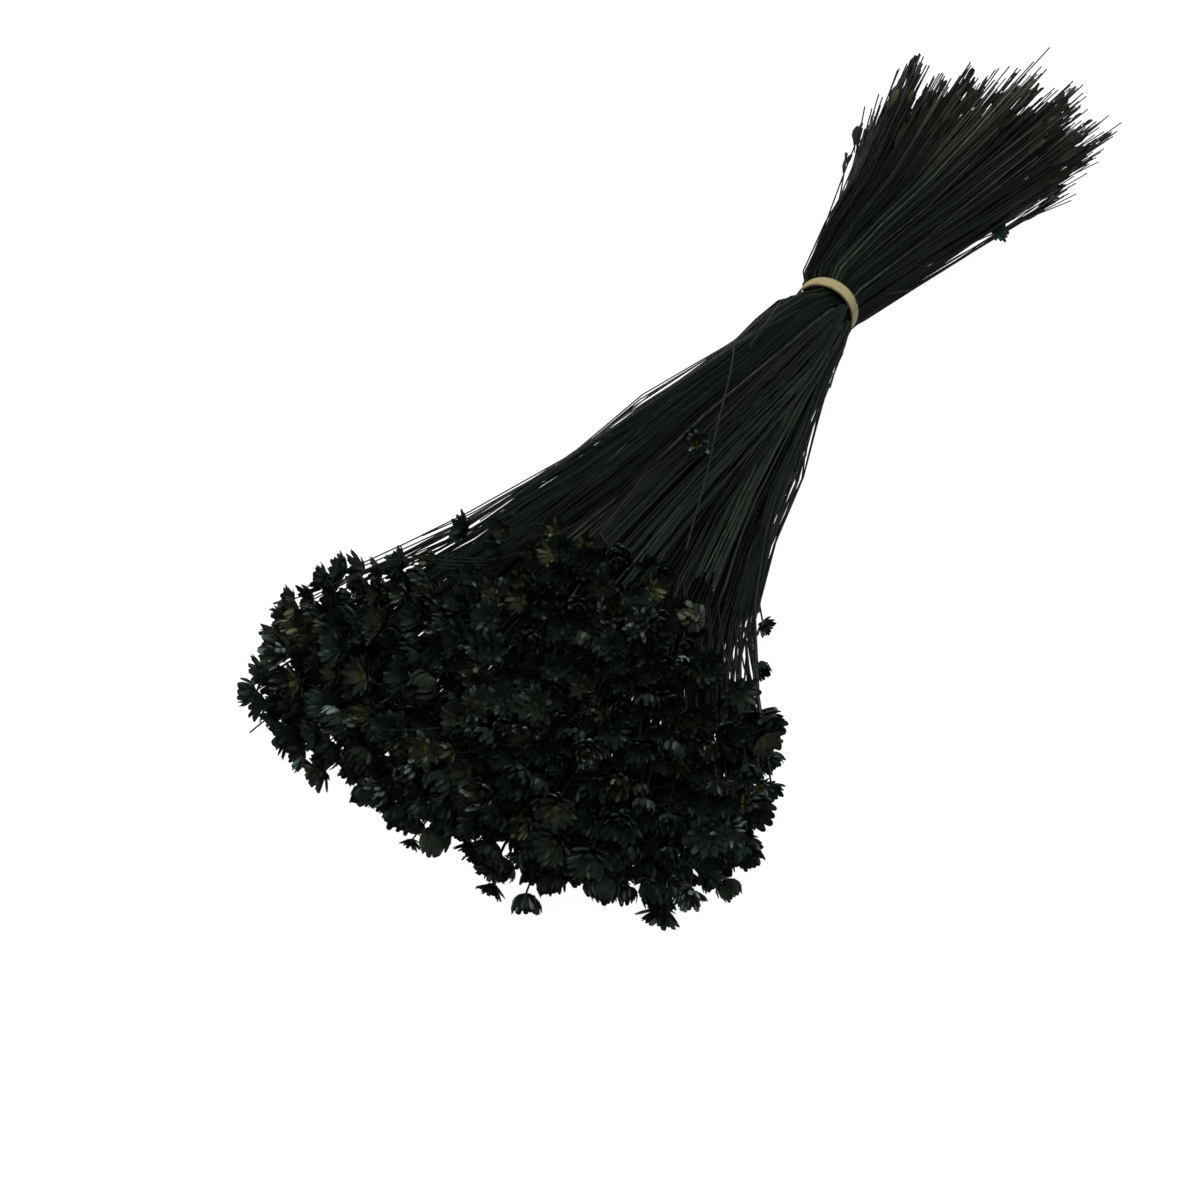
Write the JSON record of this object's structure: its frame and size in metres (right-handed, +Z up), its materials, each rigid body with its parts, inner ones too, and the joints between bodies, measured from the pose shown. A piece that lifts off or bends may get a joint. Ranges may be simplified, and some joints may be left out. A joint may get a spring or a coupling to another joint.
{
  "type": "dried flower bunch",
  "caption": "Bunch of black-dyed dried glixia lying flat: thin straight stalks with small star-shaped flower heads, held by a rubber band.",
  "frame": {"origin": "centre of the bounding box, at the height of the surface the bunch lies on", "axes": "+Y along the bunch from the flower heads to the cut ends, +Z up from the surface it lies on, +X to the right when looking from the heads to the cut ends"},
  "size_m": [0.1614, 0.413, 0.0603],
  "materials": {
    "dyed_stalk": "matte black dye on dry stalks and bracts",
    "band": "matte tan rubber"
  },
  "bodies": {
    "root": {"spray_01": "dyed_stalk", "spray_02": "dyed_stalk", "spray_03": "dyed_stalk", "spray_04": "dyed_stalk", "spray_05": "dyed_stalk", "spray_06": "dyed_stalk", "spray_07": "dyed_stalk", "spray_08": "dyed_stalk", "spray_09": "dyed_stalk", "spray_10": "dyed_stalk", "spray_11": "dyed_stalk", "spray_12": "dyed_stalk", "spray_13": "dyed_stalk", "spray_14": "dyed_stalk", "spray_15": "dyed_stalk", "spray_16": "dyed_stalk", "spray_17": "dyed_stalk", "spray_18": "dyed_stalk", "spray_19": "dyed_stalk", "spray_20": "dyed_stalk", "spray_21": "dyed_stalk", "spray_22": "dyed_stalk", "spray_23": "dyed_stalk", "spray_24": "dyed_stalk", "spray_25": "dyed_stalk", "spray_26": "dyed_stalk", "spray_27": "dyed_stalk", "spray_28": "dyed_stalk", "spray_29": "dyed_stalk", "spray_30": "dyed_stalk", "spray_31": "dyed_stalk", "spray_32": "dyed_stalk", "spray_33": "dyed_stalk", "spray_34": "dyed_stalk", "spray_35": "dyed_stalk", "spray_36": "dyed_stalk", "spray_37": "dyed_stalk", "spray_38": "dyed_stalk", "spray_39": "dyed_stalk", "spray_40": "dyed_stalk", "spray_41": "dyed_stalk", "spray_42": "dyed_stalk", "spray_43": "dyed_stalk", "rubber_band": "band"}
  },
  "joints": []
}
